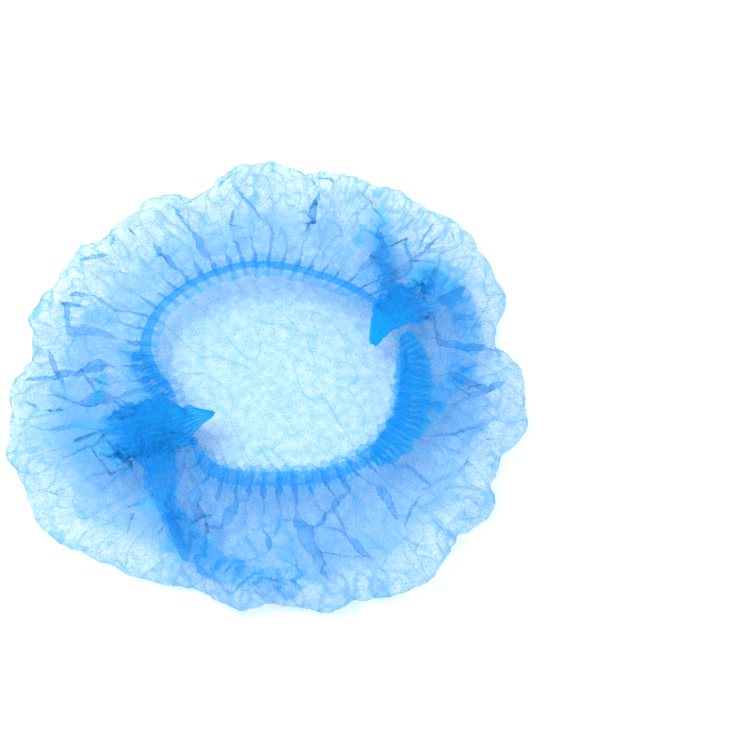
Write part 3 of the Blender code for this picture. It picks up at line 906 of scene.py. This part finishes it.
def cloth_finish(name, gathered):
    """Thin cloth whose number of layers comes from its attributes and from procedural creases."""
    wiring = Wiring(name)
    place = wiring.add("ShaderNodeTexCoord").outputs["Object"]
    warp = wiring.add("ShaderNodeTexNoise")
    wiring.put(warp.inputs["Vector"], place)
    wiring.put(warp.inputs["Scale"], 70.0)
    bent = wiring.add("ShaderNodeVectorMath", operation="MULTIPLY_ADD")
    wiring.put(bent.inputs[0], warp.outputs["Color"])
    wiring.put(bent.inputs[1], (0.008, 0.008, 0.008))
    wiring.put(bent.inputs[2], place)
    bent = bent.outputs[0]
    net = wiring.ridge(wiring.noise(bent, 105.0, 0.0), 0.028)
    small = wiring.ridge(wiring.noise(bent, 330.0, 1.0), 0.030)
    fibre = wiring.stretch(wiring.noise(place, 900.0, 1.0), 0.30, 0.72, -0.42, 0.50)
    mottle = wiring.stretch(wiring.noise(place, 170.0, 1.0), 0.30, 0.70, -0.25, 0.30)
    grain = wiring.math("ADD", fibre, mottle)
    lines = wiring.math("ADD", wiring.math("MULTIPLY", net, 0.40), wiring.math("MULTIPLY", small, 0.45))
    if gathered:
        total = wiring.math("ADD", wiring.math("ADD", lines, grain), wiring.read("layers"))
        relief = lines
    else:
        streak = wiring.read("streak", vector=True)
        side = wiring.math("SUBTRACT", 1.0, wiring.read("crown"))
        lines = wiring.math("MULTIPLY", lines, wiring.stretch(side, 0.0, 1.0, 0.25, 1.0))
        long_lines = wiring.ridge(wiring.noise(wiring.scaled(streak, (9.0, 9.0, 3.0)), 1.0, 1.0), 0.028)
        fine_lines = wiring.ridge(wiring.noise(wiring.scaled(streak, (24.0, 24.0, 9.0)), 1.0, 1.0), 0.026)
        long_lines = wiring.math("MULTIPLY", long_lines, 1.3)
        wrinkles = wiring.math("ADD", long_lines, wiring.math("MULTIPLY", fine_lines, 0.7))
        wrinkles = wiring.math("MULTIPLY", wrinkles, side)
        pleat_line = wiring.stretch(wiring.read("pleat_wave"), 0.2, 0.8, 0.0, 1.0)
        pleats = wiring.math("MULTIPLY", pleat_line, wiring.read("pleat"))
        slanted = wiring.add("ShaderNodeMapping", vector_type="TEXTURE")
        wiring.put(slanted.inputs["Vector"], place)
        slanted.inputs["Rotation"].default_value = (0.0, 0.0, CROWN_LINE_TURN)
        slanted.inputs["Scale"].default_value = (0.085, 0.034, 0.085)
        crown_noise = wiring.noise(slanted.outputs[0], 1.0, 1.0)
        crown_lines = wiring.math("MULTIPLY", wiring.ridge(crown_noise, 0.010), wiring.read("crown"))
        relief = wiring.math("ADD", lines, wiring.math("ADD", wrinkles, wiring.math("MULTIPLY", pleats, 2.2)))
        relief = wiring.math("ADD", relief, wiring.math("MULTIPLY", crown_lines, 0.6))
        total = wiring.math("ADD", wiring.math("ADD", relief, grain), wiring.read("layers"))
    total = wiring.math("MAXIMUM", total, 0.10)
    dense = wiring.stretch(total, 1.0, DENSE_LAYERS, 0.0, 1.0)
    filtered = wiring.add("ShaderNodeGamma")
    wiring.put(filtered.inputs["Color"], wiring.tones(dense, TINT_THIN, TINT_DENSE))
    wiring.put(filtered.inputs["Gamma"], total)
    bump = wiring.add("ShaderNodeBump")
    bump.inputs["Strength"].default_value = 0.45 if gathered else 0.8
    bump.inputs["Distance"].default_value = 0.0006
    wiring.put(bump.inputs["Height"], wiring.math("ADD", relief, grain))
    tone = wiring.tones(dense, BODY_BUNCHED if gathered else BODY_THIN, BODY_DENSE)
    clear = wiring.add("ShaderNodeBsdfTransparent")
    wiring.put(clear.inputs["Color"], filtered.outputs["Color"])
    scatter = []
    for kind in ("ShaderNodeBsdfDiffuse", "ShaderNodeBsdfTranslucent"):
        shader = wiring.add(kind)
        wiring.put(shader.inputs["Color"], tone)
        wiring.put(shader.inputs["Normal"], bump.outputs["Normal"])
        scatter.append(shader.outputs[0])
    body = wiring.add("ShaderNodeMixShader")
    body.inputs["Fac"].default_value = 0.45
    whole = wiring.add("ShaderNodeMixShader")
    wiring.put(whole.inputs["Fac"], wiring.stretch(total, 0.0, DENSE_LAYERS, COVER_NONE, COVER_DENSE))
    wiring.link(scatter[0], body.inputs[1])
    wiring.link(scatter[1], body.inputs[2])
    wiring.link(clear.outputs[0], whole.inputs[1])
    wiring.link(body.outputs[0], whole.inputs[2])
    wiring.link(whole.outputs[0], wiring.add("ShaderNodeOutputMaterial").inputs["Surface"])
    return wiring.material


nonwoven = cloth_finish("nonwoven", gathered=False)
bunched = cloth_finish("bunched_nonwoven", gathered=True)
casing = cloth_finish("elastic_casing", gathered=True)

# %% The finished sheet
cloth_piece = bpy.data.objects.new("cloth_cap", cloth_mesh)
scene.collection.objects.link(cloth_piece)
cloth_mesh.materials.append(nonwoven)
cloth_mesh.shade_smooth()
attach(cloth_piece, "root")
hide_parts("cap_shell")

# %% [markdown]
# ## Elastic casings
# Along each long edge the cloth is turned over an elastic. The far casing lies smooth, the near
# one is bunched into small bumps. Each is a closed flat tube, made of a grid that is wrapped round
# and merged along its seam.

# %% Casings
CASING_WIDTH = 0.0088
CASING_THICKNESS = 0.0022
CASING_STEPS = 520
CASING_SIDES = 10
CASING_BUMPS = 150
CASING_LAYERS = 1.3
CASING_LIFT = 0.0012
BUMP_WIDTH = 0.0024
BUMP_THICKNESS = 0.0012
BUMP_SPAN = 171.0


def grid_shares(across, along):
    """A grid as a bmesh, with the two shares from 0 to 1 of each of its points."""
    mesh = bmesh.new()
    bmesh.ops.create_grid(mesh, x_segments=across, y_segments=along, size=0.5)
    mesh.verts.ensure_lookup_table()
    shares = [(vert.co.x + 0.5, vert.co.y + 0.5) for vert in mesh.verts]
    return mesh, shares


def add_cloth(name, mesh, material, layers_of):
    """Merge the seams of a bmesh, face it outward and link it as an object with its layers."""
    kept = mesh.verts.layers.float.new("layers")
    for vert, value in zip(mesh.verts, layers_of):
        vert[kept] = value
    bmesh.ops.remove_doubles(mesh, verts=mesh.verts[:], dist=1e-6)
    bmesh.ops.recalc_face_normals(mesh, faces=mesh.faces[:])
    data = bpy.data.meshes.new(name)
    mesh.to_mesh(data)
    mesh.free()
    data.shade_smooth()
    data.materials.append(material)
    piece = bpy.data.objects.new(name, data)
    scene.collection.objects.link(piece)
    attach(piece, "root")
    return piece


def build_casing(name, start, stop, bumpy):
    """A flat tube along the mouth, from one angle to another."""
    mesh, shares = grid_shares(CASING_SIDES, CASING_STEPS)
    for vert, (around_share, share) in zip(mesh.verts, shares):
        angle = start + (stop - start) * share
        turn_angle = 2 * math.pi * around_share
        bump = abs(math.sin(math.pi * CASING_BUMPS * share * (stop - start) / BUMP_SPAN / 2))
        bump *= 0.6 + 0.6 * noise.noise(Vector((angle * 0.35, 3.0, 0.0)))
        taper = min(1.0, 12.0 * share, 12.0 * (1.0 - share)) ** 0.5
        width = (CASING_WIDTH * 0.5 + bumpy * BUMP_WIDTH * bump) * max(taper, 0.02)
        thick = (CASING_THICKNESS * 0.5 + bumpy * BUMP_THICKNESS * bump) * max(taper, 0.02)
        radius = mouth_radius(angle) + width * math.cos(turn_angle) * math.cos(TRACK_TILT)
        height = mouth_height(angle) + thick * math.sin(turn_angle)
        height -= width * math.cos(turn_angle) * math.sin(TRACK_TILT)
        vert.co = polar(angle, radius, height + CASING_LIFT)
    return add_cloth(name, mesh, casing, [CASING_LAYERS - 0.5 * bumpy] * len(shares))


far_casing = build_casing("far_casing", 24.0, 200.0, 0.25)
near_casing = build_casing("near_casing", 230.0, 368.0, 1.0)
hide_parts("far_elastic")
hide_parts("near_elastic")

# %% [markdown]
# ## Bunched cloth
# At each welded end all the pleats meet, and from there bunches of folded cloth run out over the
# cap. A bunch is a grid that is folded like an accordion across its width: each point is shifted
# sideways by more than the fold's own pitch, so that several layers lie on each other.

# %% Bunches
cover = BVHTree.FromPolygons([Vector(point) for point in cloth_points],
                             [tuple(face.vertices) for face in cloth_mesh.polygons])
HIGH_UP = 0.2
BUNCH_ALONG = 90
BUNCH_ACROSS = 12
BUNCH_POINTS_PER_FOLD = 14
BUNCH_GAP = 0.0016
GROUND_CELL = 0.004
GROUND_CELLS = 104


def measure_ground():
    """Heights of the cloth's top on a coarse square grid, smoothed."""
    half = GROUND_CELLS // 2
    heights = np.zeros((GROUND_CELLS, GROUND_CELLS))
    for row in range(GROUND_CELLS):
        for column in range(GROUND_CELLS):
            spot = Vector(((column - half) * GROUND_CELL, (row - half) * GROUND_CELL, HIGH_UP))
            hit = cover.ray_cast(spot, Vector((0.0, 0.0, -1.0)))[0]
            heights[row, column] = hit.z if hit else 0.0
    for _ in range(2):
        padded = np.pad(heights, 1, mode="edge")
        heights = (padded[:-2, 1:-1] + padded[2:, 1:-1] + padded[1:-1, :-2] + padded[1:-1, 2:]
                   + 2 * padded[1:-1, 1:-1]) / 6
    return heights


ground_heights = measure_ground()


def cover_height(x, y):
    """Smoothed height of the cloth under a place in plan."""
    column = x / GROUND_CELL + GROUND_CELLS // 2
    row = y / GROUND_CELL + GROUND_CELLS // 2
    left, low = int(column), int(row)
    u, v = column - left, row - low
    corners = ground_heights[low:low + 2, left:left + 2]
    return float((1 - v) * ((1 - u) * corners[0, 0] + u * corners[0, 1])
                 + v * ((1 - u) * corners[1, 0] + u * corners[1, 1]))


def along_path(path, along):
    """Place, heading and numbers at a share along a path."""
    count = len(path) - 1
    step = min(int(along * count), count - 1)
    mix = along * count - step
    first, second = path[step], path[step + 1]
    heading = (Vector(second["at"]) - Vector(first["at"])).normalized()
    if step > 0 and mix < 0.5:
        before = (Vector(first["at"]) - Vector(path[step - 1]["at"])).normalized()
        heading = before.lerp(heading, 0.5 + mix)
    elif step < count - 1 and mix > 0.5:
        after = (Vector(path[step + 2]["at"]) - Vector(second["at"])).normalized()
        heading = heading.lerp(after, mix - 0.5)
    place = Vector(first["at"]).lerp(Vector(second["at"]), mix)
    numbers = [first[key] + (second[key] - first[key]) * mix for key in ("width", "rise", "z", "layers")]
    return place, heading.normalized(), numbers


def unfolded(sway, lift, pitch):
    """Length of cloth in an accordion fold, as a share of its pitch, from its sway and its rise."""
    turns = np.linspace(0.0, 2 * math.pi, 361)[:-1]
    along = 1.0 + 2 * math.pi * sway * np.cos(turns)
    up = math.pi * lift / pitch * np.sin(turns)
    return float(np.hypot(along, up).mean())


def declare_bunch(piece, path, folds, crosswise, sway, lift):
    """Print the flat size of a bunch, the size of the sheet that its folds stand for."""
    steps = [(Vector(b["at"]) - Vector(a["at"])).length for a, b in zip(path, path[1:])]
    length = sum(steps)
    width = sum(step * (a["width"] + b["width"]) / 2 for step, a, b in zip(steps, path, path[1:])) / length
    if crosswise:
        length *= unfolded(sway, lift, length / folds)
    else:
        width *= unfolded(sway, lift, width / folds)
    print(piece.name, "flat", round(width, 3), "by", round(length, 3), "metres")


def build_bunch(name, path, folds, crosswise, sway, lift, fingers, seed, bulge=0.22):
    """Accordion-folded cloth along a path, with its folds along the path or across it."""
    if crosswise:
        mesh, shares = grid_shares(BUNCH_ACROSS, folds * BUNCH_POINTS_PER_FOLD)
    else:
        mesh, shares = grid_shares(folds * BUNCH_POINTS_PER_FOLD, BUNCH_ALONG)
    length = sum((Vector(b["at"]) - Vector(a["at"])).length for a, b in zip(path, path[1:]))
    layers_of = []
    for vert, (across, share) in zip(mesh.verts, shares):
        finger = fingers * (0.5 + 0.5 * math.cos(2 * math.pi * folds * across + 1.0))
        finger += fingers * noise.noise(Vector((across * 7.0, seed, 2.0)))
        along = share if crosswise else share + max(finger, 0.0) * (1.0 - share)
        place, heading, (width, rise, base, layer_count) = along_path(path, along)
        side = Vector((-heading.y, heading.x))
        drift = noise.noise(Vector((along * 5.0, across * 3.0, seed)))
        lengthwise = noise.noise(Vector((across * 4.0, along * 14.0, seed + 5.0)))
        edge = abs(2 * across - 1)
        if crosswise:
            fold_phase = 2 * math.pi * folds * along + 2.6 * drift
            pitch = length / folds
            uneven = 1.0 + 0.45 * noise.noise(Vector((along * folds * 0.6, seed, round(across) * 5.0)))
            scallop = uneven + bulge * edge * math.cos(fold_phase)
            place = place + side * ((across - 0.5) * width * scallop)
            place = place + heading * (sway * pitch * math.sin(fold_phase))
        else:
            fold_phase = 2 * math.pi * folds * across + 2.2 * drift
            pitch = width / folds
            scallop = 1.0 + 0.45 * edge * noise.noise(Vector((along * 16.0, seed, 1.0 + 5.0 * round(across))))
            place = place + side * ((across - 0.5) * width * scallop + sway * pitch * math.sin(fold_phase))
            place = place + heading * (lengthwise * 0.0016)
        ridge_lift = lift * (0.5 + 0.5 * math.cos(fold_phase + 0.8))
        dome = 1.0 - edge * edge
        ground = max(cover_height(place.x, place.y), base)
        vert.co = (place.x, place.y, ground + BUNCH_GAP + rise * dome + ridge_lift + 0.0008 * lengthwise)
        layers_of.append(layer_count)
    piece = add_cloth(name, mesh, bunched, layers_of)
    declare_bunch(piece, path, folds, crosswise, sway, lift)
    return piece


# %% The two gathered ends
LEFT_END = [
    {"at": (-0.116, -0.054), "width": 0.038, "rise": 0.0005, "z": 0.004, "layers": 0.5},
    {"at": (-0.096, -0.053), "width": 0.040, "rise": 0.0025, "z": 0.015, "layers": 1.0},
    {"at": (-0.076, -0.050), "width": 0.038, "rise": 0.0045, "z": 0.034, "layers": 1.8},
    {"at": (-0.058, -0.045), "width": 0.028, "rise": 0.0035, "z": 0.037, "layers": 2.0},
    {"at": (-0.036, -0.037), "width": 0.003, "rise": 0.0005, "z": 0.034, "layers": 4.0},
]
RIGHT_END = [
    {"at": (0.120, 0.054), "width": 0.026, "rise": 0.0005, "z": 0.004, "layers": 0.1},
    {"at": (0.110, 0.050), "width": 0.030, "rise": 0.0025, "z": 0.015, "layers": 0.3},
    {"at": (0.096, 0.045), "width": 0.030, "rise": 0.0045, "z": 0.034, "layers": 1.8},
    {"at": (0.083, 0.036), "width": 0.021, "rise": 0.0040, "z": 0.036, "layers": 2.6},
    {"at": (0.075, 0.018), "width": 0.005, "rise": 0.0005, "z": 0.033, "layers": 4.5},
]
left_end = build_bunch("left_gathers", LEFT_END, 9, False, 0.75, 0.0018, 0.22, 1.0)
right_end = build_bunch("right_gathers", RIGHT_END, 8, False, 0.75, 0.0018, 0.22, 4.0)
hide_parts("left_gathered_end")
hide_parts("right_gathered_end")

# %% Bunches that run out from the ends
LEFT_COLUMN = [
    {"at": (-0.072, -0.040), "width": 0.026, "rise": 0.0030, "z": 0.0, "layers": 1.0},
    {"at": (-0.076, -0.062), "width": 0.028, "rise": 0.0030, "z": 0.0, "layers": 1.0},
    {"at": (-0.072, -0.086), "width": 0.022, "rise": 0.0025, "z": 0.0, "layers": 0.6},
    {"at": (-0.066, -0.108), "width": 0.014, "rise": 0.0020, "z": 0.0, "layers": 0.35},
    {"at": (-0.058, -0.126), "width": 0.008, "rise": 0.0010, "z": 0.0, "layers": 0.2},
]
LEFT_CHAIN = [
    {"at": (-0.064, -0.108), "width": 0.012, "rise": 0.0015, "z": 0.0, "layers": 0.5},
    {"at": (-0.052, -0.130), "width": 0.017, "rise": 0.0015, "z": 0.0, "layers": 0.75},
    {"at": (-0.034, -0.145), "width": 0.017, "rise": 0.0015, "z": 0.0, "layers": 0.75},
    {"at": (-0.014, -0.157), "width": 0.015, "rise": 0.0015, "z": 0.0, "layers": 0.65},
    {"at": (0.010, -0.163), "width": 0.013, "rise": 0.0010, "z": 0.0, "layers": 0.8},
    {"at": (0.030, -0.163), "width": 0.008, "rise": 0.0005, "z": 0.0, "layers": 0.3},
]
LEFT_TIP = [
    {"at": (-0.076, -0.060), "width": 0.016, "rise": 0.0020, "z": 0.0, "layers": 1.0},
    {"at": (-0.062, -0.060), "width": 0.012, "rise": 0.0030, "z": 0.031, "layers": 1.6},
    {"at": (-0.047, -0.058), "width": 0.005, "rise": 0.0010, "z": 0.032, "layers": 2.0},
]
RIGHT_COLUMN = [
    {"at": (0.088, 0.038), "width": 0.016, "rise": 0.0030, "z": 0.0, "layers": 1.1},
    {"at": (0.085, 0.060), "width": 0.013, "rise": 0.0030, "z": 0.0, "layers": 1.0},
    {"at": (0.083, 0.084), "width": 0.011, "rise": 0.0025, "z": 0.0, "layers": 0.7},
    {"at": (0.084, 0.106), "width": 0.014, "rise": 0.0015, "z": 0.0, "layers": 0.5},
    {"at": (0.080, 0.128), "width": 0.012, "rise": 0.0005, "z": 0.0, "layers": 0.2},
]
RIGHT_ARC = [
    {"at": (0.110, 0.068), "width": 0.010, "rise": 0.0015, "z": 0.0, "layers": 0.1},
    {"at": (0.118, 0.070), "width": 0.019, "rise": 0.0020, "z": 0.0, "layers": 0.3},
    {"at": (0.136, 0.055), "width": 0.018, "rise": 0.0020, "z": 0.0, "layers": 0.4},
    {"at": (0.146, 0.027), "width": 0.017, "rise": 0.0020, "z": 0.0, "layers": 0.4},
    {"at": (0.134, -0.006), "width": 0.015, "rise": 0.0015, "z": 0.0, "layers": 0.4},
    {"at": (0.116, -0.034), "width": 0.009, "rise": 0.0010, "z": 0.0, "layers": 0.3},
]
RIM_ROW = {"rise": 0.0010, "z": 0.0}


def rim_path(start, stop, count, out, width, layer_count):
    """Rows of a path beside the mouth, from one angle to another."""
    rows = []
    for number in range(count + 1):
        angle = start + (stop - start) * number / count
        taper = min(1.0, 0.35 + 4 * number / count, 0.35 + 4 * (1 - number / count))
        spot = polar(angle, mouth_radius(angle) + out, 0.0)
        rows.append({"at": (spot.x, spot.y), "width": width * taper, "layers": layer_count, **RIM_ROW})
    return rows


left_column = build_bunch("left_column", LEFT_COLUMN, 6, False, 0.7, 0.0022, 0.16, 7.0)
left_chain = build_bunch("left_chain", LEFT_CHAIN, 8, True, 0.34, 0.0030, 0.0, 3.0, bulge=0.42)
left_tip = build_bunch("left_tip", LEFT_TIP, 4, False, 0.7, 0.0018, 0.1, 15.0)
right_column = build_bunch("right_column", RIGHT_COLUMN, 9, True, 0.36, 0.0024, 0.0, 8.0, bulge=0.35)
right_arc = build_bunch("right_arc", RIGHT_ARC, 13, True, 0.40, 0.0026, 0.0, 6.0)
right_edge = rim_path(14, -44, 10, 0.0060, 0.022, 1.8)
near_edge = rim_path(-40, -136, 14, 0.0040, 0.014, 0.2)
left_edge = rim_path(206, 172, 8, 0.0060, 0.015, 0.9)
right_rim = build_bunch("right_rim", right_edge, 26, True, 0.46, 0.0018, 0.0, 9.0)
near_rim = build_bunch("near_rim", near_edge, 44, True, 0.40, 0.0016, 0.0, 11.0)
left_rim = build_bunch("left_rim", left_edge, 15, True, 0.40, 0.0016, 0.0, 13.0)
bunches = (left_end, right_end, left_column, left_chain, left_tip, right_column, right_arc,
           right_rim, near_rim, left_rim)
for piece in bunches:
    print(piece.name, len(piece.data.vertices), "points")
